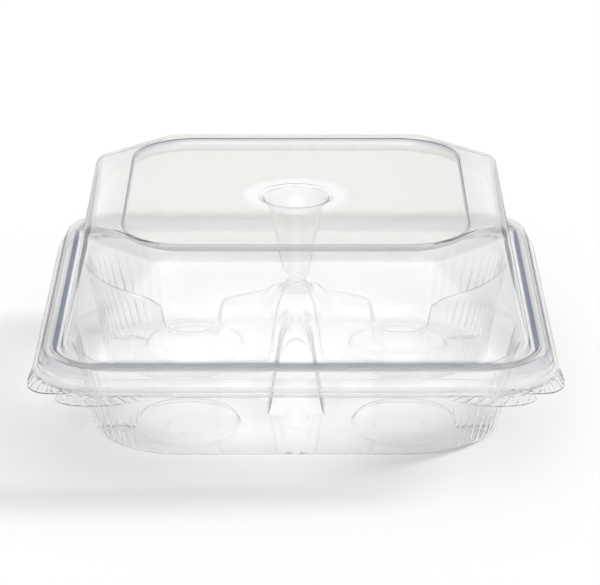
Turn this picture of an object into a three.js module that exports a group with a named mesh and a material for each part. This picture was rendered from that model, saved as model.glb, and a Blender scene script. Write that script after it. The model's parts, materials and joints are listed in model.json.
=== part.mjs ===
// Clear four-cell clamshell carton: tray and lid formed from one thin sheet,
// folding about a crease along the rear edge. Millimetres, +Z up, front at -Y.
import * as THREE from 'three';

// ---- driving dimensions ---------------------------------------------------
const T = 0.6;            // sheet thickness
const GAP = 0.3;          // gap between neighbouring formed regions
const FLANGE_X = 101.5;   // half width of the flange
const DY = 5.5;           // half depth = half width - DY, all round the rim
const RIM_R = 19;         // rim corner radius
const TRAY_IN = 88;       // half width where the cells meet the rim
const FLOOR_X = 80, FLOOR_Y = 75.7, FLOOR_R = 35;   // tray outline on the table
const CELL = { x: 43, y: 43, disc: 19.3, ring: 21.2, rise: 3.2 };
const CONE = { r0: 40, r1: 45 };                    // cup radius at floor and lip
const RIDGE = [[0, 44.4], [9, 43.1], [12, 41.2], [16, 39.4], [20, 38.1], [25, 36.9],
  [30, 36], [56, 36.6], [69, 38.8], [82, 40], [200, 40]];
const POST = { r: 9, top: 44.4 };
const ARM = { top: 8, foot: 10.5, end: 31, toe: 36, ramp: 48 };   // front and rear arms
const ARM_END = [[31, 35], [33.5, 18], [36, 5], [48, 0.3]];      // height along X = 0
const SIDE_ARM = [[30, 35.6], [32.6, 27.6], [36, 23.8], [43, 22.4], [50, 23.8], [53.4, 27.6],
  [56, 35.6], [60, 37.2], [69, 38.8], [82, 40], [200, 40]];       // saddle beside each cup
const SIDE_FOOT = [[31, 10.5], [36, 6.8], [50, 6.8], [56, 1.5]];
const SIDE_TOP = [[31, 8], [35, 3.4], [50.5, 3.4], [56, 0]];
const FRONT_WALL = [[71.7, 0.3], [75.1, 2.9], [82.5, 40]];
const LID = { x: 82.8, y: 75.5, z: 84, chamfer: 29, round: 12 };   // top outline
const LID_FOOT = { x: 90.4, r: 19, z: 41.4 };
const PANEL = { half: 67.5, r: 26, depth: 2.7 };    // stacking recess
const FUNNEL = { lip: 16, mid: 9.2, tip: 6, end: 46.2 };
const HINGE = { y: 103.5, z: 34.45, leaf: 176, gap: 0.5 };   // crease line, leaf width

// half-width and height through the tray rim and the lid rim, inside to outside
const TRAY_RIM = [[88.3, 40], [94.2, 40.1], [95.3, 41.4], [96.9, 41.4], [98, 38.4],
  [98.6, 34.2], [FLANGE_X, 33.3]];
const LID_RIM = [[90.9, 41.1], [93.2, 41.2], [94.4, 42.7], [97.5, 42.7], [98.9, 39.6],
  [99.6, 35.9], [FLANGE_X, 35.3]];
const LUG = { half: 0.4, base: [33.2, 31.6], lid: [35.3, 34.9] };    // corner tab heights

// ---- helpers --------------------------------------------------------------
const group = new THREE.Group();
group.name = 'clear_cell_carton';
const TAU = Math.PI * 2;
const V = (x, y, z) => new THREE.Vector3(x, y, z);

function lut(table, x) {
  if (x <= table[0][0]) return table[0][1];
  for (let i = 1; i < table.length; i++) {
    const [a, u] = table[i - 1], [b, v] = table[i];
    if (x <= b) return u + (v - u) * (x - a) / (b - a);
  }
  return table[table.length - 1][1];
}

function add(name, geometry) {
  const material = new THREE.MeshStandardMaterial({
    color: 0xe9eef0, roughness: 0.12, metalness: 0, transparent: true, opacity: 0.5 });
  const mesh = new THREE.Mesh(geometry, material);
  mesh.name = name;
  group.add(mesh);
}

// closed sheet of thickness T about a grid of mid-surface points; the columns
// run round (ring) or stay open, and `hub` closes the first row to one point
function sheet(rows, { ring = true, hub = null, t = T, keep = null } = {}) {
  const n = rows[0].length, m = rows.length, mid = rows.flat(), tris = [];
  const id = (i, j) => i * n + (ring ? j % n : j), cols = ring ? n : n - 1;
  if (hub) {
    mid.push(hub);
    for (let j = 0; j < cols; j++) tris.push([m * n, id(0, j), id(0, j + 1)]);
  }
  for (let i = 0; i < m - 1; i++) for (let j = 0; j < cols; j++) {
    const a = id(i, j), b = id(i, j + 1), c = id(i + 1, j + 1), d = id(i + 1, j);
    tris.push([a, d, c], [a, c, b]);
  }
  const nor = mid.map(() => V(0, 0, 0)), e1 = V(0, 0, 0), e2 = V(0, 0, 0);
  for (const [a, b, c] of tris) {
    e1.subVectors(mid[b], mid[a]); e2.subVectors(mid[c], mid[a]); e1.cross(e2);
    for (const k of [a, b, c]) nor[k].add(e1);
  }
  const N = mid.length, pos = [];
  for (const s of [0.5, -0.5]) mid.forEach((p, k) => {
    const q = p.clone().addScaledVector(nor[k].normalize(), s * t);
    if (keep) keep(q);
    pos.push(q.x, q.y, q.z);
  });
  const idx = [];
  const put = (a, b, c) => idx.push(a, b, c);
  for (const [a, b, c] of tris) { put(a, b, c); put(a + N, c + N, b + N); }
  const edge = (a, b) => { put(a, b, a + N); put(b, b + N, a + N); };
  for (let j = 0; j < cols; j++) {
    if (!hub) edge(id(0, j), id(0, j + 1));
    edge(id(m - 1, j + 1), id(m - 1, j));
  }
  if (!ring) for (let i = 0; i < m - 1; i++) {
    edge(id(i + 1, 0), id(i, 0));
    edge(id(i, n - 1), id(i + 1, n - 1));
  }
  const g = new THREE.BufferGeometry();
  g.setAttribute('position', new THREE.Float32BufferAttribute(pos, 3));
  g.setIndex(idx);
  g.computeVertexNormals();
  return g;
}

// outline of half sizes a x b, corners rounded (r), as one list of points
function rounded(a, b, r, z, n = 6) {
  const out = [];
  for (const [sx, sy, start] of [[1, 1, 0], [-1, 1, 1], [-1, -1, 2], [1, -1, 3]])
    for (let k = 0; k <= n; k++) {
      const u = (start + k / n) * Math.PI / 2;
      out.push(V(sx * (a - r) + r * Math.cos(u), sy * (b - r) + r * Math.sin(u), z));
    }
  return out;
}

// the same list of points round an outline with flat 45 degree corners
function chamfered(a, b, c, r, z, n = 6) {
  const arc = r * Math.tan(Math.PI / 8), q = Math.PI / 4, one = [];
  for (let k = 0; k <= n; k++) {
    const f = k / n;
    if (f <= 1 / 3) {
      const u = q * f * 3;
      one.push([a - r + r * Math.cos(u), b - c - arc + r * Math.sin(u)]);
    } else if (f >= 2 / 3) {
      const u = q + q * (f * 3 - 2);
      one.push([a - c - arc + r * Math.cos(u), b - r + r * Math.sin(u)]);
    } else {
      const x0 = a - r + r * Math.cos(q), y0 = b - c - arc + r * Math.sin(q);
      const x1 = a - c - arc + r * Math.cos(q), y1 = b - r + r * Math.sin(q);
      one.push([x0 + (x1 - x0) * (f * 3 - 1), y0 + (y1 - y0) * (f * 3 - 1)]);
    }
  }
  const back = [...one].reverse();
  const put = (list, sx, sy) => list.map(([x, y]) => V(sx * x, sy * y, z));
  return [...put(one, 1, 1), ...put(back, -1, 1), ...put(one, -1, -1), ...put(back, 1, -1)];
}

// extra points along every stretch of an outline longer than `step`
function divide(list, step) {
  return list.flatMap((p, i) => {
    const q = list[(i + 1) % list.length], k = Math.ceil(p.distanceTo(q) / step - 1e-6);
    return Array.from({ length: Math.max(k, 1) }, (_, j) => p.clone().lerp(q, j / Math.max(k, 1)));
  });
}

const mix = (p, q, w) => p.map((v, i) => v.clone().lerp(q[i], w));

// ---- tray -----------------------------------------------------------------
// distance from the cell centre to a rounded outline, along (cx, cy)
function reach(a, b, r, cx, cy) {
  let lo = 0, hi = 130;
  for (let k = 0; k < 40; k++) {
    const d = (lo + hi) / 2, x = CELL.x + d * cx, y = CELL.y + d * cy;
    const ux = x - (a - r), uy = y - (b - r);
    const inside = x < a && y < b && !(ux > 0 && uy > 0 && Math.hypot(ux, uy) > r);
    if (inside) lo = d; else hi = d;
  }
  return lo;
}

// distance to the edge of the quadrant: the two centre lines and the post
function inner(cx, cy) {
  const e = GAP / 2, p = POST.r + GAP;
  let d = 999;
  if (cx < 0) d = Math.min(d, (e - CELL.x) / cx);
  if (cy < 0) d = Math.min(d, (e - CELL.y) / cy);
  const b = CELL.x * cx + CELL.y * cy, c = CELL.x ** 2 + CELL.y ** 2 - p * p;
  if (b < 0 && b * b > c) d = Math.min(d, -b - Math.sqrt(b * b - c));
  return d;
}

function cellAngles() {
  const list = [], p = POST.r + GAP, e = GAP / 2, want = [[TRAY_IN, e], [p, e], [0, 0]];
  for (const y of [p, ARM.end, 33.5, ARM.toe, ARM.ramp, 71.7, 75.1, 79, TRAY_IN - DY]) {
    want.push([e, y]);
  }
  for (const x of [30, 32.6, 36, 43, 50, 53.4, 56]) want.push([x, e]);
  for (const u of [22.5, 67.5]) {
    want.push([p * Math.cos(u * Math.PI / 180), p * Math.sin(u * Math.PI / 180)]);
  }
  const fixed = want.map(([x, y]) => (Math.atan2(y - CELL.y, x - CELL.x) + TAU) % TAU);
  for (let k = 0; k < 36; k++) {
    const u = k / 36 * TAU;
    if (fixed.every(f => Math.abs(f - u) > 0.045)) list.push(u);
  }
  return [...list, ...fixed].sort((a, b) => a - b);
}

// height of the ridges above the table, away from the cups
function ridge(x, y) {
  return lut(RIDGE, Math.max(x, y) > 40 ? Math.max(x, y) : Math.hypot(x, y));
}

// radii and heights along one ray from a cell centre: foot, lip and outer edge
function section(cx, cy) {
  const edge = Math.min(inner(cx, cy), reach(TRAY_IN, TRAY_IN - DY, RIM_R, cx, cy));
  const ex = CELL.x + edge * cx, ey = CELL.y + edge * cy, low = T / 2;
  const floor = reach(FLOOR_X, FLOOR_Y, FLOOR_R, cx, cy);
  if (ex < GAP && ey > POST.r + 1) {              // ray ends on the centre plane x = 0
    if (ey > ARM.ramp + 0.1) {
      const z = lut(FRONT_WALL, ey);
      if (ey > FLOOR_Y) return [floor, low, edge - 0.4, z - 0.4, edge, z];
      return [edge - 0.9, low, edge - 0.3, Math.max(z - 0.3, low), edge, z];
    }
    const r0 = (ARM.foot - CELL.x) / cx, r1 = (ARM.top - CELL.x) / cx;
    const z = ey < ARM.end + 0.1 ? ridge(0, ey) : lut(ARM_END, ey);
    return [r0, low, r1, Math.max(z - 1.2, low), edge, z];
  }
  const lip = reach(TRAY_IN - 1, TRAY_IN - DY - 1, 32, cx, cy), round = cy < 0;
  if (ey < GAP && ex > POST.r + 1) {              // ray ends on the centre plane y = 0
    const r0 = Math.min(CONE.r0, floor, (lut(SIDE_FOOT, ex) - CELL.y) / cy);
    const r1 = Math.min(CONE.r1, lip, edge - 0.9, (lut(SIDE_TOP, ex) - CELL.y) / cy);
    const z = ex < 30 ? ridge(ex, 0) : lut(SIDE_ARM, ex), px = CELL.x + r1 * cx;
    return [r0, low, r1, Math.min(z, px > 56 ? ridge(px, 0) : z) - 0.7, edge, z];
  }
  const r0 = round ? Math.min(CONE.r0, floor) : floor;   // round only beside y = 0
  const r1 = round ? Math.min(CONE.r1, lip) : lip;
  if (edge - 1.4 >= r1) {
    const x = CELL.x + r1 * cx, y = CELL.y + r1 * cy;
    return [r0, low, r1, ridge(x, y) - 0.6, edge, ridge(ex, ey)];
  }
  return [r0, low, edge - 1.4, ridge(ex, ey) - 0.8, edge, ridge(ex, ey)];
}

function cell(name, sx, sy) {
  const rows = [[], [], [], [], [], [], [], []], h = T / 2, e = GAP / 2;
  for (const u of cellAngles()) {
    const cx = Math.cos(u), cy = Math.sin(u), [r0, , r1, z1, edge, z2] = section(cx, cy);
    const at = (d, z) => V(sx * (CELL.x + d * cx), sy * (CELL.y + d * cy), z);
    rows[0].push(at(CELL.disc - 0.6, CELL.rise + h));
    rows[1].push(at(CELL.disc, CELL.rise - 0.4 + h));
    rows[2].push(at(CELL.ring, h));
    rows[3].push(at(r0 - 4, h));
    rows[4].push(at(r0 - 0.6, Math.max(h, Math.min(2.9, z1 * 0.3))));
    rows[5].push(at(r0 + (r1 - r0) * 0.55, Math.max(h, z1 * 0.55)));
    rows[6].push(at(r1, Math.max(h, z1)));
    rows[7].push(at(edge, Math.max(h, z2)));
  }
  const keep = q => {
    q.x = sx * Math.max(sx * q.x, e);
    q.y = sy * Math.max(sy * q.y, e);
    q.z = Math.max(q.z, 0);
  };
  add(name, sheet(rows, { hub: V(sx * CELL.x, sy * CELL.y, CELL.rise + h), keep }));
}

cell('base_cell_front_left', -1, -1);
cell('base_cell_front_right', 1, -1);
cell('base_cell_rear_left', -1, 1);
cell('base_cell_rear_right', 1, 1);

function ringOf(profile, n = 6) {
  return profile.map(([x, z]) => rounded(x, x - DY, RIM_R + (x - 95) * 0.6, z, n));
}

function dome() {
  const rows = [], n = 24;
  for (const [r, z] of [[3, POST.top - 0.1], [6, POST.top - 0.5], [POST.r - 0.2, POST.top - 1.3]]) {
    const row = [];
    for (let k = 0; k < n; k++) row.push(V(r * Math.cos(k / n * TAU), r * Math.sin(k / n * TAU), z));
    rows.push(row);
  }
  return sheet(rows, { hub: V(0, 0, POST.top) });
}
add('base_centre_post', dome());
add('base_rim', sheet(ringOf(TRAY_RIM)));

// ---- lid ------------------------------------------------------------------
function lidWall() {
  const foot = rounded(LID_FOOT.x, LID_FOOT.x - DY, LID_FOOT.r, LID_FOOT.z, 9);
  const rows = [foot, foot.map(v => v.clone().multiply(V(0.996, 0.996, 1)).setZ(44))];
  for (const [w, z] of [[0.45, 60], [0.24, 71], [0.1, 78.5], [0, 82]]) {
    const soft = Math.min(1, (82 - z) / 14), s = LID_FOOT.x - LID.x, b = LID.y;
    const round = rounded(LID.x + s * w, b + (LID_FOOT.x - DY - b) * w, 30, z, 9);
    rows.push(mix(chamfered(LID.x + s * w, b + (LID_FOOT.x - DY - b) * w, LID.chamfer,
      LID.round, z, 9), round, soft));
  }
  rows.push(chamfered(LID.x - 0.8, LID.y - 0.8, LID.chamfer, LID.round, 83.4, 9));
  rows.reverse();
  return sheet(rows);
}

function lidBorder() {
  const out = chamfered(LID.x - 1.3, LID.y - 1.3, LID.chamfer, LID.round, LID.z - T / 2, 9);
  const inn = rounded(PANEL.half + 1.2, PANEL.half + 1.2, PANEL.r + 1, LID.z - T / 2, 9);
  const low = rounded(PANEL.half + 0.2, PANEL.half + 0.2, PANEL.r, LID.z - 0.5 - T / 2, 9);
  const end = rounded(PANEL.half - 0.4, PANEL.half - 0.4, PANEL.r, LID.z - PANEL.depth + 0.5, 9);
  return sheet([end, low, inn, out]);
}

function lidPanel() {
  const z = LID.z - PANEL.depth - T / 2, half = PANEL.half - 1.1;
  const out = divide(rounded(half, half, PANEL.r, z, 6), 14);
  const near = out.map(v => {
    const u = Math.atan2(v.y, v.x), r = FUNNEL.lip + 0.5;
    return V(r * Math.cos(u), r * Math.sin(u), z);
  });
  return sheet([near, out]);
}

function funnel() {
  const z0 = LID.z - PANEL.depth - T / 2, rows = [], n = 24;
  const prof = [[FUNNEL.lip, z0], [13.4, z0 - 0.5], [11.2, z0 - 2.2], [9.9, z0 - 5],
    [FUNNEL.mid, z0 - 9], [7.9, 60], [FUNNEL.tip + 0.6, 50], [FUNNEL.tip - 0.6, FUNNEL.end + T]];
  for (const [r, z] of prof.reverse()) {
    const row = [];
    for (let k = 0; k < n; k++) row.push(V(r * Math.cos(k / n * TAU), r * Math.sin(k / n * TAU), z));
    rows.push(row);
  }
  return sheet(rows, { hub: V(0, 0, FUNNEL.end + T / 2) });
}

add('lid_wall', lidWall());
add('lid_top_border', lidBorder());
add('lid_stacking_panel', lidPanel());
add('lid_funnel', funnel());
add('lid_rim', sheet(ringOf(LID_RIM)));

// ---- corner tabs and hinge ------------------------------------------------
// flat lug between an inner edge, which follows the flange, and an outer edge
function lug(outer, innerEdge, [z0, z1], side) {
  const rows = [[], []];
  outer.forEach(([x, y], i) => {
    const [u, v] = innerEdge[i];
    rows[0].push(V(side * u, v, z0));
    rows[1].push(V(side * x, y, z1));
  });
  return sheet(rows, { ring: false, t: 2 * LUG.half });
}

const FY = -(FLANGE_X - DY);                       // front edge of the flange
const edgeY = FY - GAP;
const BASE_LUG = [[60, FY - 2], [65, FY - 5.4], [70, FY - 6.8], [77, FY - 7],
  [86, FY - 6.6], [92, FY - 4.5]];
const BASE_LUG_IN = [[60, edgeY], [65, edgeY], [70, edgeY], [77, edgeY], [83.5, edgeY],
  [89, FY + 1.6]];
const LID_LUG = [[84, FY - 1.2], [90, FY - 1.8], [96, FY - 1.8], [101, FY], [103, FY + 4.5],
  [103.2, FY + 10], [102.6, FY + 15]];

// the inner edge of a lid tab: an arc just outside the flange corner
function lidLugIn() {
  const r = RIM_R + (FLANGE_X - 95) * 0.6 + GAP, x = FLANGE_X + GAP - r, y = edgeY + r;
  return LID_LUG.map((_, k) => {
    const u = -Math.PI / 2 + (0.06 + 0.88 * k / (LID_LUG.length - 1)) * Math.PI / 2;
    return [x + r * Math.cos(u), y + r * Math.sin(u)];
  });
}

for (const [tag, side] of [['left', -1], ['right', 1]]) {
  add(`base_tab_${tag}`, lug(BASE_LUG, BASE_LUG_IN, LUG.base, side));
  add(`lid_tab_${tag}`, lug(LID_LUG, lidLugIn(), LUG.lid, side));
}

// a leaf of the living hinge, from the flange to just short of the crease
function leaf(z, zEnd) {
  const half = HINGE.leaf / 2, y0 = -edgeY, y1 = HINGE.y - HINGE.gap, xs = [half, 0, -half];
  return sheet([xs.map(x => V(x, y0, z)), xs.map(x => V(x, y1, zEnd))], { ring: false, t: 0.5 });
}
add('base_hinge_leaf', leaf(HINGE.z - 1.15, HINGE.z - 0.4));
add('lid_hinge_leaf', leaf(HINGE.z + 0.85, HINGE.z + 0.4));

export default group;
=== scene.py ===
# Clear four-cup clamshell egg carton: a formed tray and lid of clear sheet, corner tabs, a folded
# hinge web, soft studio light and a camera at the reference angle.
import json
import math
import bpy
import bmesh
import numpy as np
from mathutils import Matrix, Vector

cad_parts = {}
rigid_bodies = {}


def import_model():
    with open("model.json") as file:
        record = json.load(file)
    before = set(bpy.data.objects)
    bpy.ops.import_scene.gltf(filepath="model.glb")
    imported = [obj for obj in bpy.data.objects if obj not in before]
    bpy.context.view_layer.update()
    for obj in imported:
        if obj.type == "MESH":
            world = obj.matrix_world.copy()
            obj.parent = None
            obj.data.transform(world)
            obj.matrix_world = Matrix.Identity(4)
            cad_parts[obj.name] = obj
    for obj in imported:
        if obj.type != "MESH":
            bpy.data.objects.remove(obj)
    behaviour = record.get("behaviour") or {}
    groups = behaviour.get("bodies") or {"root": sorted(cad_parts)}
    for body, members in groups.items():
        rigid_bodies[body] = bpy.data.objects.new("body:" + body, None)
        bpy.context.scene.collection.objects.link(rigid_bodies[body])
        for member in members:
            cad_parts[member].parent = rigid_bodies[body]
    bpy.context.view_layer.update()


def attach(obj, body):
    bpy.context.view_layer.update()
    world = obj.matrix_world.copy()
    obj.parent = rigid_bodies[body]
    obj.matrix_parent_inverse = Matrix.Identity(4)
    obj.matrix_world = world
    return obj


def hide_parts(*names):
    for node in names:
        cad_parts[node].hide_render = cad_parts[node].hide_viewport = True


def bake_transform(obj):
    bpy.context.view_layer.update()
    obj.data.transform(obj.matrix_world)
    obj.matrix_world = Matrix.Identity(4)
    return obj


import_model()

MM = 0.001

# ---- camera -----------------------------------------------------------------
cam_data = bpy.data.cameras.new("camera")
cam = bpy.data.objects.new("camera", cam_data)
bpy.context.scene.collection.objects.link(cam)
cam_data.lens = 185.5
cam_data.sensor_width = 36.0
cam.location = (0.0016, -1.181, 0.474)
cam.rotation_euler = (math.radians(90 - 20.2), 0, 0)
bpy.context.scene.camera = cam

# ---- driving dimensions, mm ---------------------------------------------------
SHEET = 0.42                            # shown gauge of the tray and the lid
DY = 5.5                                # half depth = half width - DY round the rim
RIM_R = 19.0
FLANGE_X = 101.5
EDGE_X = 88.0                           # where the cells meet the rim
FLOOR = (80.0, 75.7, 35.0)              # half sizes and corner radius on the table
LIP = (EDGE_X - 0.6, EDGE_X - DY - 0.6, 32.0)
CX = CY = 43.0                          # cell centre
DISC, RING, RISE = 19.3, 21.2, 3.2      # raised disc in a cell: top radius, foot radius, height
CONE0, CONE1 = 40.0, 45.0               # cell wall radius at the floor and WALL_H above it
# (distance, height) tables: the post from its axis, then the crests of the arms
POST = [(0, 44.6), (2.4, 44.4), (4.4, 43.6), (5.9, 42.3), (7.0, 41.3), (9, 40.8), (14, 40.0),
        (20, 39.0), (30, 36.9), (40, 36.0), (56, 36.6), (69, 38.8), (82, 40), (200, 40)]
WALL_H, LAND = 37.0, 40.0                # wall height that sets the slopes, outer land
ARM_FOOT, ARM_TOP, CROWN = 10.8, 5.2, 4.2          # half widths of an arm, drop of its crown
FRONT_ARM = [(28, 37.3), (30.0, 36.6), (31.4, 34.6), (32.6, 31), (34.6, 14), (35.8, 7.6),
             (37.2, 5.4), (40, 4.2), (47, 0.5), (49.5, 0), (58, 0), (60, 37), (69, 38.8),
             (82, 40), (200, 40)]
SIDE_ARM = [(28, 37.3), (29.4, 36.6), (30.5, 35), (31.2, 32), (31.9, 28), (33.2, 25), (35.6, 23.1),
            (39, 22.4), (47, 22.4), (50.4, 23.1), (52.8, 25), (54.1, 28), (54.8, 32),
            (55.5, 34.8), (56.8, 36.2), (60, 37.2), (69, 38.8), (82, 40), (200, 40)]
# (half width, height, corner radius) through each rim, from the inside out
TRAY_RIM = [(88, 40, 0), (94.1, 40.1, 0.7), (95.2, 41.5, 0.7), (96.9, 41.5, 0.9),
            (98.0, 38.2, 0.5), (98.5, 34.1, 0.8), (101.3, 33.3, 0.4), (101.6, 32.5, 0)]
LID_RIM = [(90.4, 43.8, 0), (90.8, 41.3, 0.5), (92.9, 41.3, 0.5), (93.9, 43.0, 0.5),
           (97.4, 42.9, 1.1), (98.7, 39.2, 0.5), (99.3, 38.8, 0.4), (99.7, 35.8, 0.7),
           (101.3, 35.3, 0.4), (101.6, 34.5, 0)]
# (half width or radius, 0 to 1): how dark the painted lines along the sheet's sharp bends are,
# painted shade in place of the refraction lines there
TRAY_PAINTED_LINES = [(88, 0), (93.9, 0), (94.4, .2), (95.2, .2), (95.7, 0), (101.2, 0), (101.6, .3)]
CAP_PAINTED_RING = [(4.0, 0), (4.9, .22), (6.2, .22), (7.0, 0)]         # painted dark ring round the post's cap
LID_PAINTED_LINES = [(90.55, 0), (90.72, 1), (92.2, 1), (92.5, .05), (97.4, 0), (101.3, 0), (101.6, .4)]
BEAD_PAINTED_LINES = [(97.0, 0), (97.3, .55), (98.3, .55), (98.8, .05), (99.3, .2), (99.7, 0)]
LINE_SHIFT = 1.8                        # the channel's painted line lies further out at the sides
LID_TOP = (82.8, 75.5, 29.0, 83.79)     # half width, half depth, corner chamfer, height
LEAN = math.radians(10.5)               # draft of the lid's wall
PANEL = (67.5, 26.0, 2.7)               # stacking recess: half width, corner radius, depth
PAINTED_PANEL_LINE, PAINTED_FLAT = 0.55, 0.035          # how dark the painted line round it and the painted grey of its flat are
MOUTH_PAINTED_LINE = [(12.8, 0), (13.3, .6), (13.9, .5), (14.3, 0)]     # painted dark line round the funnel's mouth
FUNNEL_TIP = 46.2                       # height of the funnel's closed end
FLUTE_PITCH = 5.6                       # spacing of the flutes along the outer wall
WEB_HALF, WEB_ROOT = 88.0, 95.6         # hinge web: half width, where it leaves the rims


# ---- small numeric helpers ------------------------------------------------------
def lut(table, x):
    if x <= table[0][0]:
        return table[0][1]
    for (a, u), (b, v) in zip(table, table[1:]):
        if x <= b:
            return u + (v - u) * (x - a) / (b - a)
    return table[-1][1]


def smooth(a, b, x):
    t = min(max((x - a) / (b - a), 0.0), 1.0)
    return t * t * (3 - 2 * t)


def rounded_path(points, n=4):
    """(u, v, radius) corners -> list of (u, v), each corner turned into n + 1 points."""
    out = []
    for i, (u, v, r) in enumerate(points):
        if i in (0, len(points) - 1) or r <= 0:
            out.append((u, v))
            continue
        p, q = points[i - 1], points[i + 1]
        a = np.array([p[0] - u, p[1] - v], float)
        b = np.array([q[0] - u, q[1] - v], float)
        la, lb = np.linalg.norm(a), np.linalg.norm(b)
        cosang = np.clip(np.dot(a, b) / (la * lb), -1, 1)
        half = math.acos(cosang) / 2
        t = min(r / max(math.tan(half), 1e-3), 0.48 * la, 0.48 * lb)
        a, b = a / la * t, b / lb * t
        for k in range(n + 1):
            f = k / n
            c = np.array([u, v]) + a * (1 - f) ** 2 + b * f ** 2
            out.append((c[0], c[1]))
    return out


def resample(path, longest):
    """Adds points so that no stretch of a (u, v) path is longer than `longest`."""
    out = [path[0]]
    for p, q in zip(path, path[1:]):
        k = max(1, math.ceil(math.hypot(q[0] - p[0], q[1] - p[1]) / longest - 1e-6))
        out += [(p[0] + (q[0] - p[0]) * j / k, p[1] + (q[1] - p[1]) * j / k)
                for j in range(1, k + 1)]
    return out


def corner_outline(a, b, r, side=24, arc=20):
    """One quarter of a rounded rectangle, from (a, 0) round to (0, b): points, normals."""
    pts, nor = [], []
    for k in range(side):
        pts.append((a, (b - r) * k / side))
        nor.append((1.0, 0.0))
    for k in range(arc + 1):
        u = math.pi / 2 * k / arc
        pts.append((a - r + r * math.cos(u), b - r + r * math.sin(u)))
        nor.append((math.cos(u), math.sin(u)))
    for k in range(1, side + 1):
        pts.append(((a - r) * (1 - k / side), b))
        nor.append((0.0, 1.0))
    return pts, nor


def corner_chamfer(a, b, c, r, side=24, arc=20):
    """The same count of points round a quarter outline with a flat 45 degree corner."""
    q, pts = math.pi / 4, []
    arm = r * math.tan(math.pi / 8)
    y0, x1 = b - c - arm, a - c - arm
    for k in range(side):
        pts.append((a, y0 * k / side))
    for k in range(arc + 1):
        f = k / arc
        if f <= 0.25:
            u = q * f * 4
            pts.append((a - r + r * math.cos(u), y0 + r * math.sin(u)))
        elif f >= 0.75:
            u = q + q * (f * 4 - 3)
            pts.append((x1 + r * math.cos(u), b - r + r * math.sin(u)))
        else:
            g = (f - 0.25) * 2
            xa, ya = a - r + r * math.cos(q), y0 + r * math.sin(q)
            xb, yb = x1 + r * math.cos(q), b - r + r * math.sin(q)
            pts.append((xa + (xb - xa) * g, ya + (yb - ya) * g))
    for k in range(1, side + 1):
        pts.append((x1 * (1 - k / side), b))
    return pts


def full_ring(quarter):
    """Mirrors a quarter outline (a, 0) -> (0, b) into one closed ring of points."""
    q = list(quarter)
    ring = q[:-1]
    ring += [(-x, y) for x, y in reversed(q)][:-1]
    ring += [(-x, -y) for x, y in q][:-1]
    ring += [(x, -y) for x, y in reversed(q)][:-1]
    return ring


# ---- mesh building ---------------------------------------------------------------
def make(name, verts, faces, painted_shades=None, thick=SHEET, body=None, nodes=(), weld=0.02,
         soften=None):
    """A closed sheet of the given thickness about mid-surface points given in mm. The painted
    shade values give each point's painted shade, the dark lines at sharp bends and the panel's
    grey, and soften how much each point is relaxed towards its neighbours, both from 0 to 1."""
    me = bpy.data.meshes.new(name)
    me.from_pydata([(x * MM, y * MM, z * MM) for x, y, z in verts], [], faces)
    # each point's painted shade, which the material reads to draw its dark lines
    painted_shade = me.attributes.new("painted_shade", "FLOAT", "POINT")
    painted_shade.data.foreach_set("value", painted_shades or [0.0] * len(verts))
    bm = bmesh.new()
    bm.from_mesh(me)
    bmesh.ops.remove_doubles(bm, verts=bm.verts, dist=weld * MM)
    bmesh.ops.dissolve_degenerate(bm, edges=bm.edges, dist=0.002 * MM)
    bmesh.ops.recalc_face_normals(bm, faces=bm.faces)
    bm.to_mesh(me)
    bm.free()
    ob = bpy.data.objects.new(name, me)
    bpy.context.scene.collection.objects.link(ob)
    if soften:
        group = ob.vertex_groups.new(name="soft")
        for v in me.vertices:
            weight = soften(*(c / MM for c in v.co))
            if weight > 0:
                group.add([v.index], weight, "REPLACE")
        relax = ob.modifiers.new("relax", "SMOOTH")
        relax.factor, relax.iterations, relax.vertex_group = 0.5, 5, "soft"
    mod = ob.modifiers.new("sheet", "SOLIDIFY")
    mod.thickness, mod.offset = thick * MM, 0.0
    mod.use_even_offset = False
    done = bpy.data.meshes.new_from_object(
        ob.evaluated_get(bpy.context.evaluated_depsgraph_get()))
    ob.modifiers.clear()
    ob.data = done
    done.name = name
    bm = bmesh.new()
    bm.from_mesh(done)
    bmesh.ops.recalc_face_normals(bm, faces=bm.faces)
    for f in bm.faces:
        f.smooth = True
    bm.to_mesh(done)
    bm.free()
    if nodes:
        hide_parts(*nodes)
    if body:
        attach(ob, body)
    return ob


def ring_faces(rows, n, start=0):
    return [(start + i * n + j, start + i * n + (j + 1) % n,
             start + (i + 1) * n + (j + 1) % n, start + (i + 1) * n + j)
            for i in range(rows - 1) for j in range(n)]


# ---- tray --------------------------------------------------------------------------
# The tray is a height field over one quarter, mirrored. Walls that would rise for ever are
# cut off by a top surface, and both joints are rounded by a smooth minimum and maximum.
def ramp(table, x):
    return np.interp(x, [p[0] for p in table], [p[1] for p in table])


def step(a, b, x):
    t = np.clip((x - a) / (b - a), 0, 1)
    return t * t * (3 - 2 * t)


def smooth_max(a, b, k):
    h = np.maximum(k - np.abs(a - b), 0) / np.maximum(k, 1e-9)
    return np.maximum(a, b) + h * h * k / 4


def smooth_min(a, b, k):
    return -smooth_max(-a, -b, k)


def outside(a, b, r, x, y):
    """Signed distance from the quarter outline of a rounded rectangle."""
    ux, uy = x - (a - r), y - (b - r)
    return np.hypot(np.maximum(ux, 0), np.maximum(uy, 0)) + np.minimum(np.maximum(ux, uy), 0) - r


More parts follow.
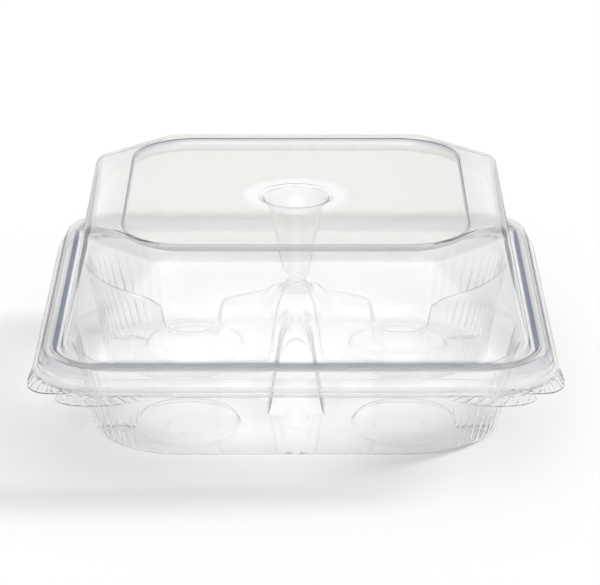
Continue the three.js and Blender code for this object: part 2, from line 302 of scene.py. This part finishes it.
def tray_walls(x, y):
    """How high the rising walls are: cup cones, outer walls and the sides of the arms."""
    cone = (np.hypot(x - CX, y - CY) - CONE0) / (CONE1 - CONE0) * WALL_H
    cone = np.where(y > 50, -WALL_H, cone * (1 - step(43, 50, y)))
    foot = outside(*FLOOR, x, y)
    outer = LAND * foot / (foot - outside(*LIP, x, y))
    fy = ramp([(31, ARM_FOOT), (36, 6.8), (50, 6.8), (56, 1.5)], x)
    ty = ramp([(30, ARM_TOP), (34, 3.4), (51.5, 3.4), (56, 0)], x)
    fx = ramp([(33, ARM_FOOT), (37, 10.4), (44, 6.5), (49.5, 4)], y)
    tx = ramp([(33, ARM_TOP), (37, 4.8), (44, 3.6), (49.5, 2)], y)
    side = (fy - y) / (fy - ty) * WALL_H
    front = np.where(y > 49.5, -WALL_H, (fx - x) / (fx - tx) * WALL_H)
    return np.maximum.reduce([cone, outer, side, front])


def tray_top(x, y):
    """The surface that caps the walls: post, crowned arms, saddles and outer land."""
    along, across = np.maximum(x, y), np.minimum(x, y)
    post = ramp(POST, np.hypot(x, y))
    crest = np.where(x >= y, ramp(SIDE_ARM, x), ramp(FRONT_ARM, y))
    crest = np.where(along < 28, post, crest)
    width = ramp([(31, ARM_TOP), (36, 3.4)], x)
    crown = CROWN * step(8, 20, along) * (1 - step(50, 58, along))
    return crest - np.minimum(crown * (across / width) ** 2, 14)


def tray_height(x, y):
    top = tray_top(x, y)
    wall = smooth_max(tray_walls(x, y), 0 * x, 7.0)
    return np.maximum(smooth_min(top, wall, np.minimum(8.0, 0.5 * np.maximum(top, 0))), 0)


def tray_quarter():
    """Columns of points from a cell centre to the quarter's edge, all round the cell."""
    edge, enor = corner_outline(EDGE_X, EDGE_X - DY, RIM_R, side=92, arc=44)
    columns = [("out", p, n) for p, n in zip(edge, enor)]
    y = EDGE_X - DY
    while y > 1.0:
        y -= 0.35 if 28 < y < 50 or y > 72 else 1.2
        columns.append(("front", (0.0, max(y, 0.4)), None))
    columns.append(("mid", (0.0, 0.0), None))
    x = 0.6
    while x < EDGE_X - 1.0:
        columns.append(("side", (x, 0.0), None))
        x += 0.4 if 27 < x < 58 else 1.2
    disc = [(0.0, RISE), (7.0, RISE), (14.0, RISE)]
    disc += rounded_path([(14, RISE, 0), (DISC, RISE, 1.7), (RING, 0, 1.7), (26, 0, 0)], 5)[1:-1]
    count, fine = 52, 260                   # points kept per column, points sampled first
    arc_len, prev, cols = 0.0, None, []
    for kind, (bx, by), nor in columns:
        if kind == "out":
            arc_len += math.dist((bx, by), prev or (bx, by))
            prev = (bx, by)
        d = math.hypot(bx - CX, by - CY)
        dx, dy = (bx - CX) / d, (by - CY) / d
        t = np.linspace(DISC + 5, d, fine)
        z = tray_height(CX + t * dx, CY + t * dy)
        run = np.concatenate([[0], np.cumsum(np.hypot(np.diff(t), np.diff(z)))])
        at = np.linspace(0, run[-1], count)
        col = disc + list(zip(np.interp(at, run, t), np.interp(at, run, z)))
        cols.append((kind, [(CX + t * dx, CY + t * dy, z) for t, z in col], nor, arc_len))
    return cols


def fluted(cols, total):
    """Small upright flutes on the outer walls, fading out at the foot and at the rim."""
    for kind, pts, nor, s in cols:
        if kind != "out":
            continue
        near = math.exp(-((s - total * 0.46) / 26) ** 2)          # stronger at the corner
        ends = smooth(12, 24, s) * smooth(12, 24, total - s)
        wave = 2 * abs(math.cos(s * math.pi / FLUTE_PITCH)) ** 0.7 - 1
        for i, (x, y, z) in enumerate(pts):
            if i > 12 and z > 0.1:
                low = 1 - smooth(5, 17, z)
                w = smooth(0.0, 2.2, z) * (0.03 + 0.05 * low + near * (0.42 + 0.33 * low))
                w *= ends * wave * (1 - smooth(29, 36, z))
                pts[i] = (x + nor[0] * w, y + nor[1] * w, z)
    return cols


def build_tray():
    cols = tray_quarter()
    total = max(c[3] for c in cols)
    cols = fluted(cols, total)
    rim = resample(rounded_path(TRAY_RIM, 4), 1.1)[1:]
    n = len(cols[0][1])
    assert all(len(c[1]) == n for c in cols)
    verts, faces, painted_shades = [], [], []
    for sx, sy in ((1, 1), (-1, 1), (-1, -1), (1, -1)):
        base = len(verts)
        for kind, pts, nor, s in cols:
            verts += [(sx * x, sy * y, max(z, SHEET / 2)) for x, y, z in pts]
            # painted dark ring round the post's cap
            painted_shades += [lut(CAP_PAINTED_RING, math.hypot(x, y)) for x, y, z in pts]
        m = len(cols)
        for j in range(m):
            k = (j + 1) % m
            for i in range(n - 1):
                faces.append((base + j * n + i, base + j * n + i + 1,
                              base + k * n + i + 1, base + k * n + i))
        outs = [c for c in cols if c[0] == "out"]
        rb = len(verts)
        for kind, pts, nor, s in outs:
            x0, y0, z0 = pts[-1]
            verts.append((sx * x0, sy * y0, z0))
            painted_shades.append(0.0)
            for u, z in rim:
                # painted dark lines along the rim's bends
                painted_shades.append(lut(TRAY_PAINTED_LINES, u))
                off = u - EDGE_X
                verts.append((sx * (x0 + nor[0] * off), sy * (y0 + nor[1] * off), z))
        q = len(rim) + 1
        for j in range(len(outs) - 1):
            for i in range(q - 1):
                faces.append((rb + j * q + i, rb + j * q + i + 1,
                              rb + (j + 1) * q + i + 1, rb + (j + 1) * q + i))
    return verts, faces, painted_shades


# ---- lid ---------------------------------------------------------------------------
def build_lid():
    side, arc = 22, 28
    rows, painted_shade_rows = [], []
    rim = list(reversed(resample(rounded_path(LID_RIM, 4), 0.5)))
    for u, z in rim:
        painted_shade_rows.append(0.0)
        r = 19 + (u - 90.4) * 0.62
        rows.append([(x, y, z) for x, y in
                     full_ring(corner_outline(u, u - DY, r, side, arc)[0])])
    foot_x, foot_y = LID_RIM[0][0], LID_RIM[0][0] - DY
    tx, ty, ch, top = LID_TOP
    foot_z = LID_RIM[0][1]

    def edge_r(y):
        return 4.2 - 1.4 * min(max(y / 60, -1), 1)      # top edge radius, tighter at the rear

    for k in range(1, 19):
        f = k / 18
        mean_z = foot_z + (top - 5 - foot_z) * f
        sx = foot_x + (tx - foot_x) * f
        sy = foot_y + (ty - foot_y) * f
        w = smooth(64, top - 1, mean_z)                     # from round to chamfered corners
        round_pts = corner_outline(sx, sy, 19 + 11 * f, side, arc)[0]
        cham_pts = corner_chamfer(sx, sy, ch - 3 * (1 - f), 9, side, arc)
        mixed = [(a[0] + (b[0] - a[0]) * w, a[1] + (b[1] - a[1]) * w)
                 for a, b in zip(round_pts, cham_pts)]
        rows.append([(x, y, foot_z + (top - edge_r(y) * (1 - math.sin(LEAN)) - foot_z) * f)
                     for x, y in full_ring(mixed)])
        painted_shade_rows.append(0.0)
    for k in range(1, 13):                                  # rounded top edge, with a faint band of painted shade
        u = LEAN + (math.pi / 2 - LEAN) * k / 12
        rim_0 = full_ring(corner_chamfer(tx, ty, ch, 9, side, arc))
        rim_1 = full_ring(corner_chamfer(tx - 1, ty - 1, ch - 0.4, 9, side, arc))
        row = []
        for (x0, y0), (x1, y1) in zip(rim_0, rim_1):
            r = edge_r(y0)
            inset = r * (math.cos(LEAN) - math.cos(u))
            row.append((x0 + (x1 - x0) * inset, y0 + (y1 - y0) * inset,
                        top - r + r * math.sin(u)))
        rows.append(row)
        painted_shade_rows.append(0.12 * math.sin(math.pi * k / 12))
    half, pr, depth = PANEL
    border = rounded_path([(half + 1.9, top, 0), (half + 0.2, top, 0.4),
                           (half - 0.3, top - depth, 0.5), (half - 6, top - depth, 0)], 4)
    border.insert(1, (half + 0.75, top))
    for u, z in border:
        # a painted dark line at the recess's top corner, painted grey on the rest of the panel
        painted_shade_rows.append(PAINTED_PANEL_LINE if half < u < half + 0.6 and z > top - 0.9 else PAINTED_FLAT)
        q = corner_outline(u, u, pr + (u - half) * 0.8, side, arc)[0]
        rows.append([(x, y, z) for x, y in full_ring(q)])
    last = rows[-1]
    zp = top - depth
    # the panel's flat keeps its painted grey
    for f in (0.25, 0.5, 0.75, 0.92):
        row = []
        for x, y, z in last:
            u = math.atan2(y, x)
            row.append((x + (19 * math.cos(u) - x) * f, y + (19 * math.sin(u) - y) * f, zp))
        rows.append(row)
        painted_shade_rows.append(PAINTED_FLAT)
    funnel = rounded_path([(19, zp, 0), (15.5, zp - 0.15, 1.6), (13.5, zp - 0.8, 0.35),
                           (11.0, zp - 4.2, 2.5), (9.4, zp - 9, 4), (5.4, 50, 0),
                           (4.4, FUNNEL_TIP, 2.4), (0.8, FUNNEL_TIP, 0)], 6)
    for r, z in resample(funnel, 2.0):
        # painted dark line round the mouth, high up only
        painted_shade_rows.append(lut(MOUTH_PAINTED_LINE, r) if z > 70 else 0.0)
        rows.append([(r * math.cos(math.atan2(y, x)), r * math.sin(math.atan2(y, x)), z)
                     for x, y, _ in last])
    n = len(last)
    verts = [p for row in rows for p in row]
    faces = ring_faces(len(rows), n)
    painted_shades = []
    for k, (b, row) in enumerate(zip(painted_shade_rows, rows)):
        for x, y, z in row:
            if k < len(rim) - 1:                            # the rim's painted dark lines, faint at the rear
                s = smooth(0.45, 0.60, abs(x) / (abs(x) + abs(y)))
                u = rim[k][0]
                line = max(lut(LID_PAINTED_LINES, u - LINE_SHIFT * s), lut(BEAD_PAINTED_LINES, u) * max(s, 0.15))
                painted_shades.append(line * (1 - 0.75 * smooth(55, 75, y)))
            else:                                           # the mouth's painted line, at the front only
                painted_shades.append(b * (1 - smooth(-5, 3, y)) if math.hypot(x, y) < 16 else b)
    painted_shades.append(0.0)
    assert len(painted_shade_rows) == len(rows)
    verts.append((0, 0, FUNNEL_TIP))
    hub, b = len(verts) - 1, (len(rows) - 1) * n
    faces += [(b + j, b + (j + 1) % n, hub) for j in range(n)]
    return verts, faces, painted_shades


def tray_softness(x, y, z):
    """Full on the arms, saddles and upper walls; none on the floor, the flutes and the rim."""
    x, y = abs(x), abs(y)
    ux, uy = x - (EDGE_X - RIM_R), y - (EDGE_X - DY - RIM_R)
    out = EDGE_X - RIM_R + math.hypot(ux, uy) if min(ux, uy) > 0 else max(x, y + DY)
    inside = (1 - smooth(58, 66, x)) * (1 - smooth(52, 62, y)) * smooth(6, 14, math.hypot(x, y))
    return max(inside * smooth(0.4, 2.5, z), smooth(20, 30, z) * smooth(8, 14, math.hypot(x, y))) \
        * smooth(0.6, 3.0, EDGE_X - out)


tray = make("tray_shell", *build_tray(), body="base", soften=tray_softness,
            nodes=("base_cell_front_left", "base_cell_front_right", "base_cell_rear_left",
                   "base_cell_rear_right", "base_centre_post", "base_rim"))
lid = make("lid_shell", *build_lid(), body="lid",
           nodes=("lid_wall", "lid_top_border", "lid_stacking_panel", "lid_funnel", "lid_rim"))


# ---- corner tabs -----------------------------------------------------------------
def along(path, f):
    """The point at fraction f of a path's length."""
    seg = [math.dist(p, q) for p, q in zip(path, path[1:])]
    want, acc = f * sum(seg), 0.0
    for (p, q), length in zip(zip(path, path[1:]), seg):
        if acc + length >= want - 1e-9:
            t = (want - acc) / length
            return p[0] + (q[0] - p[0]) * t, p[1] + (q[1] - p[1]) * t
        acc += length
    return path[-1]


def tab(name, outer, inner, z0, z1, side, body, node, ridges, amp):
    """A lug between an inner and an outer edge path, with slanted moulded ridges."""
    nu, nv = 150, 22
    outer = resample(rounded_path([(x, y, 30.0) for x, y in outer], 6), 0.8)
    verts, faces = [], []
    for i in range(nu + 1):
        f = i / nu
        ox, oy = along(outer, f)
        ix, iy = along(inner, f)
        for j in range(nv + 1):
            g = j / nv
            edge = (smooth(0.04, 0.22, g) * smooth(0, 0.26, 1 - g)
                    * smooth(0, .12, f) * smooth(0, .12, 1 - f))
            wave = math.sin((f * ridges + g * 1.1) * 2 * math.pi) * 0.5 + 0.5
            z = z0 + (z1 - z0) * g + amp * edge * smooth(0.25, 0.85, wave)
            verts.append((side * (ix + (ox - ix) * g), iy + (oy - iy) * g, z))
    for i in range(nu):
        for j in range(nv):
            a = i * (nv + 1) + j
            faces.append((a, a + 1, a + nv + 2, a + nv + 1))
    return make(name, verts, faces, thick=0.4, body=body, nodes=(node,))


FY = -(FLANGE_X - DY)                               # front edge of the flange
TRAY_TAB = [(55, FY - 0.4), (61, FY - 2.0), (68, FY - 5.4), (76, FY - 6.9), (84, FY - 6.2),
            (89.5, FY - 3.2), (91.5, FY + 0.4)]
TRAY_TAB_IN = [(55, FY - 0.35), (70, FY - 0.35), (78.6, FY - 0.35), (84, FY + 0.35),
               (90, FY + 2.4)]
LID_TAB = [(79, FY - 0.6), (85, FY - 1.7), (92, FY - 2.1), (98.0, FY - 1.2), (101.9, FY + 4.2),
           (102.6, FY + 11), (102.0, FY + 20)]
corner_r = 26.1                                     # the lid tab's inner edge is an arc
corner_at = (FLANGE_X + 0.4 - corner_r, FY - 0.4 + corner_r)
LID_TAB_IN = [(corner_at[0] + corner_r * math.cos(u), corner_at[1] + corner_r * math.sin(u))
              for u in (math.radians(-86 + 82 * k / 12) for k in range(13))]
for tag, side in (("left", -1), ("right", 1)):
    tab(f"tray_tab_{tag}", TRAY_TAB, TRAY_TAB_IN, 33.0, 31.5, side, "base", f"base_tab_{tag}",
        8.2, 0.55)
    tab(f"lid_tab_{tag}", LID_TAB, LID_TAB_IN, 35.0, 34.7, side, "lid", f"lid_tab_{tag}",
        9.2, 0.6)


# ---- hinge web ---------------------------------------------------------------------
def web():
    """A folded strip from the tray's flange round the crease to the lid's, tapered at its ends."""
    path = rounded_path([(WEB_ROOT, 33.1, 0), (100.2, 33.55, 1.5), (103.0, 34.2, 0.3),
                         (103.0, 34.7, 0.3), (100.2, 35.2, 1.5), (WEB_ROOT, 35.1, 0)], 5)
    path = resample(path, 1.2)
    nx = 88
    verts = []
    for i in range(nx + 1):
        x = -WEB_HALF + 2 * WEB_HALF * i / nx
        reach = 1 - 0.9 * smooth(WEB_HALF - 12, WEB_HALF, abs(x)) ** 2
        verts += [(x, WEB_ROOT + (y - WEB_ROOT) * max(reach, 0.12), z) for y, z in path]
    n = len(path)
    faces = [(i * n + j, i * n + j + 1, (i + 1) * n + j + 1, (i + 1) * n + j)
             for i in range(nx) for j in range(n - 1)]
    return verts, faces


hinge = make("hinge_web", *web(), thick=0.34, nodes=("base_hinge_leaf", "lid_hinge_leaf"))
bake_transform(hinge)


# ---- materials ---------------------------------------------------------------------
# how much of the sheet turns to a darker see-through sheet, painted edge shade, from seen square
# on (0) to seen edge on (1)
EDGE_SHADE = ((0.80, 0.0), (0.98, 0.75))
PAINTED_LINE_TINT = (0.24, 0.29, 0.40)              # painted line shade, chosen for the sharpest bends
PAINTED_PANEL_SHADE = (0.875, 0.867, 0.852)          # and painted grey for the panel's flat


def colour_ramp(nt, stops):
    """A colour ramp node with the given (position, colour or grey) stops."""
    node = nt.nodes.new("ShaderNodeValToRGB")
    while len(node.color_ramp.elements) < len(stops):
        node.color_ramp.elements.new(0.5)
    for element, (at, colour) in zip(node.color_ramp.elements, stops):
        element.position = at
        element.color = (*(colour if isinstance(colour, tuple) else (colour,) * 3), 1)
    return node


def product(nt, a, b):
    """The output of a node that multiplies two colours."""
    node = nt.nodes.new("ShaderNodeVectorMath")
    node.operation = "MULTIPLY"
    nt.links.new(a, node.inputs[0])
    nt.links.new(b, node.inputs[1])
    return node.outputs[0]


def greater(nt, a, b):
    """The output of a node that takes the greater of two values."""
    node = nt.nodes.new("ShaderNodeMath")
    node.operation = "MAXIMUM"
    nt.links.new(a, node.inputs[0])
    nt.links.new(b, node.inputs[1])
    return node.outputs[0]


def clear_plastic(name, tint, bump, wave_scale, clear=0.975, shadow=0.885, around=0.73,
                  edge_on=(0.86, 0.875, 0.90), mid=0.93):
    """Clear formed sheet: a glassy Principled surface with slight thickness waves and a faint
    haze. Shadow and diffuse rays see a tinted transparent sheet, so its shadow stays light."""
    m = bpy.data.materials.new(name)
    m.use_nodes = True
    nt = m.node_tree
    nt.nodes.clear()
    N, L = nt.nodes.new, nt.links.new
    out = N("ShaderNodeOutputMaterial")
    p = N("ShaderNodeBsdfPrincipled")
    p.inputs["Transmission Weight"].default_value = clear
    p.inputs["IOR"].default_value = 1.5
    tex = N("ShaderNodeTexCoord")
    haze = N("ShaderNodeTexNoise")
    haze.inputs["Scale"].default_value = 55.0
    haze.inputs["Detail"].default_value = 3.0
    L(tex.outputs["Object"], haze.inputs["Vector"])
    rough = N("ShaderNodeMapRange")
    rough.inputs["To Min"].default_value = 0.015
    rough.inputs["To Max"].default_value = 0.06
    L(haze.outputs["Fac"], rough.inputs["Value"])
    L(rough.outputs["Result"], p.inputs["Roughness"])
    ramp = colour_ramp(nt, ((0.3, tuple(c * 0.985 for c in tint)), (0.7, tint)))
    L(haze.outputs["Fac"], ramp.inputs["Fac"])
    facing = N("ShaderNodeLayerWeight")                 # darker seen edge on: partly the longer path through the sheet, mostly painted edge shade
    facing.inputs["Blend"].default_value = 0.5
    edge = colour_ramp(nt, ((0.5, 1.0), (0.68, 0.985), (0.86, mid), (0.97, edge_on)))
    L(facing.outputs["Facing"], edge.inputs["Fac"])
    tinted = product(nt, ramp.outputs["Color"], edge.outputs["Color"])
    painted_shade = N("ShaderNodeAttribute")                     # painted shade: dark lines at sharp bends, grey on the panel
    painted_shade.attribute_name = "painted_shade"
    line = colour_ramp(nt, ((0.0, 1.0), (0.04, PAINTED_PANEL_SHADE), (0.2, (0.88, 0.89, 0.91)),
                            (1.0, PAINTED_LINE_TINT)))
    L(painted_shade.outputs["Fac"], line.inputs["Fac"])
    L(product(nt, tinted, line.outputs["Color"]), p.inputs["Base Color"])
    wave = N("ShaderNodeTexNoise")
    wave.inputs["Scale"].default_value = wave_scale
    wave.inputs["Detail"].default_value = 1.0
    L(tex.outputs["Object"], wave.inputs["Vector"])
    b = N("ShaderNodeBump")
    b.inputs["Strength"].default_value = bump
    b.inputs["Distance"].default_value = 0.0004
    L(wave.outputs["Fac"], b.inputs["Height"])
    L(b.outputs["Normal"], p.inputs["Normal"])
    lamp = N("ShaderNodeLightPath")
    through = N("ShaderNodeBsdfTransparent")
    share = N("ShaderNodeMath")                         # lets less soft light through than sun
    share.operation = "MULTIPLY_ADD"
    share.inputs[1].default_value = around - shadow
    share.inputs[2].default_value = shadow
    L(lamp.outputs["Is Diffuse Ray"], share.inputs[0])
    # darker see-through colour where the sheet is seen edge on: painted edge shade for the camera,
    # a darker shadow for lamps
    dark = colour_ramp(nt, ((0.70, (1, 1, 1)), (0.96, edge_on)))
    L(facing.outputs["Facing"], dark.inputs["Fac"])
    passed = N("ShaderNodeVectorMath")
    passed.operation = "SCALE"
    L(dark.outputs["Color"], passed.inputs[0])
    L(share.outputs[0], passed.inputs["Scale"])
    L(passed.outputs[0], through.inputs["Color"])
    mix = N("ShaderNodeMixShader")
    soft = greater(nt, lamp.outputs["Is Shadow Ray"], lamp.outputs["Is Diffuse Ray"])
    shade = colour_ramp(nt, EDGE_SHADE)
    L(facing.outputs["Facing"], shade.inputs["Fac"])
    L(greater(nt, soft, shade.outputs["Color"]), mix.inputs[0])
    L(p.outputs[0], mix.inputs[1])
    L(through.outputs[0], mix.inputs[2])
    L(mix.outputs[0], out.inputs["Surface"])
    return m


m_tray = clear_plastic("tray_clear_sheet", (0.995, 0.997, 0.998), 0.12, 60)
m_lid = clear_plastic("lid_clear_sheet", (0.992, 0.99, 0.985), 0.05, 22, clear=0.965,
                      shadow=0.965, around=0.96, edge_on=(0.50, 0.53, 0.59), mid=0.84)
m_tab = clear_plastic("tab_clear_sheet", (0.992, 0.994, 0.996), 0.15, 120, shadow=0.92,
                      around=0.85)
for ob in (tray, lid):
    ob.data.materials.clear()
tray.data.materials.append(m_tray)
lid.data.materials.append(m_lid)
for ob in bpy.data.objects:
    if ob.name.startswith(("tray_tab", "lid_tab", "hinge_web")):
        ob.data.materials.clear()
        ob.data.materials.append(m_tab)

# ---- floor, light, world -------------------------------------------------------------
def stage_floor():
    me = bpy.data.meshes.new("floor")
    s = 3.0
    me.from_pydata([(-s, -s, 0), (s, -s, 0), (s, s, 0), (-s, s, 0)], [], [(0, 1, 2, 3)])
    ob = bpy.data.objects.new("floor", me)
    bpy.context.scene.collection.objects.link(ob)
    ob.location.z = -0.0003
    m = bpy.data.materials.new("floor_paper")
    m.use_nodes = True
    p = m.node_tree.nodes["Principled BSDF"]
    noise = m.node_tree.nodes.new("ShaderNodeTexNoise")
    noise.inputs["Scale"].default_value = 3.0
    ramp = colour_ramp(m.node_tree, ((0.0, 0.90), (1.0, 0.92)))
    m.node_tree.links.new(noise.outputs["Fac"], ramp.inputs["Fac"])
    m.node_tree.links.new(ramp.outputs["Color"], p.inputs["Base Color"])
    p.inputs["Roughness"].default_value = 0.8
    p.inputs["Specular IOR Level"].default_value = 0.0
    me.materials.append(m)


def sun(name, from_dir, spread, strength):
    d = bpy.data.lights.new(name, "SUN")
    d.angle, d.energy = math.radians(spread), strength
    ob = bpy.data.objects.new(name, d)
    ob.rotation_euler = (-Vector(from_dir)).to_track_quat("-Z", "Y").to_euler()
    ob.visible_glossy = False                           # the sky alone makes the highlights
    ob.visible_transmission = False
    bpy.context.scene.collection.objects.link(ob)


def beam(name, width, depth, height, power):
    """A soft downward panel as large as the carton's foot, to light what is inside it."""
    d = bpy.data.lights.new(name, "AREA")
    d.shape, d.size, d.size_y = "ELLIPSE", width, depth
    d.spread, d.energy = math.radians(2.0), power
    ob = bpy.data.objects.new(name, d)
    ob.location = (-0.006, 0.010, height)
    ob.visible_glossy = False
    ob.visible_transmission = False
    bpy.context.scene.collection.objects.link(ob)


# (position, grey) stops that multiply, and BOX that adds
SKY = ((0.0, 1.0), (0.34, 1.0), (0.62, 0.85), (1.0, 0.8))   # by sine of elevation
FLAGS = ((0.40, 1.0), (0.78, 0.20))                         # dark screens to left and right
BACK = ((0.70, 1.0), (0.93, 1.35))                          # brighter low behind
BOX = ((0.62, 0.0), (0.95, 1.75))                           # soft box low in front
SKY_STRENGTH = 0.645


def studio_world():
    world = bpy.data.worlds.new("studio")
    bpy.context.scene.world = world
    world.use_nodes = True
    wn = world.node_tree
    bg = wn.nodes["Background"]
    where = wn.nodes.new("ShaderNodeTexCoord")
    axes = wn.nodes.new("ShaderNodeSeparateXYZ")
    wn.links.new(where.outputs["Generated"], axes.inputs[0])
    side = wn.nodes.new("ShaderNodeMath")
    side.operation = "ABSOLUTE"
    wn.links.new(axes.outputs["X"], side.inputs[0])
    front = wn.nodes.new("ShaderNodeMath")
    front.operation = "MULTIPLY"
    front.inputs[1].default_value = -1.0
    wn.links.new(axes.outputs["Y"], front.inputs[0])

    def shade(source, stops):
        node = colour_ramp(wn, stops)
        wn.links.new(source, node.inputs["Fac"])
        return node.outputs["Color"]

    behind = product(wn, shade(axes.outputs["Z"], SKY), shade(axes.outputs["Y"], BACK))
    both = product(wn, behind, shade(side.outputs[0], FLAGS))
    lit = wn.nodes.new("ShaderNodeVectorMath")              # adds
    wn.links.new(both, lit.inputs[0])
    wn.links.new(shade(front.outputs[0], BOX), lit.inputs[1])
    wn.links.new(lit.outputs[0], bg.inputs["Color"])
    bg.inputs["Strength"].default_value = SKY_STRENGTH


stage_floor()
beam("fill_top", 0.170, 0.166, 2.4, 0.060)
sun("key_right", (1.0, 0.45, 0.64), 16, 3.35)
sun("fill_front", (-0.15, -1.0, 0.75), 30, 0.45)
studio_world()

sc = bpy.context.scene
sc.view_settings.view_transform = "Standard"
sc.cycles.max_bounces = 40
sc.cycles.transmission_bounces = 40
sc.cycles.glossy_bounces = 8
sc.cycles.transparent_max_bounces = 64
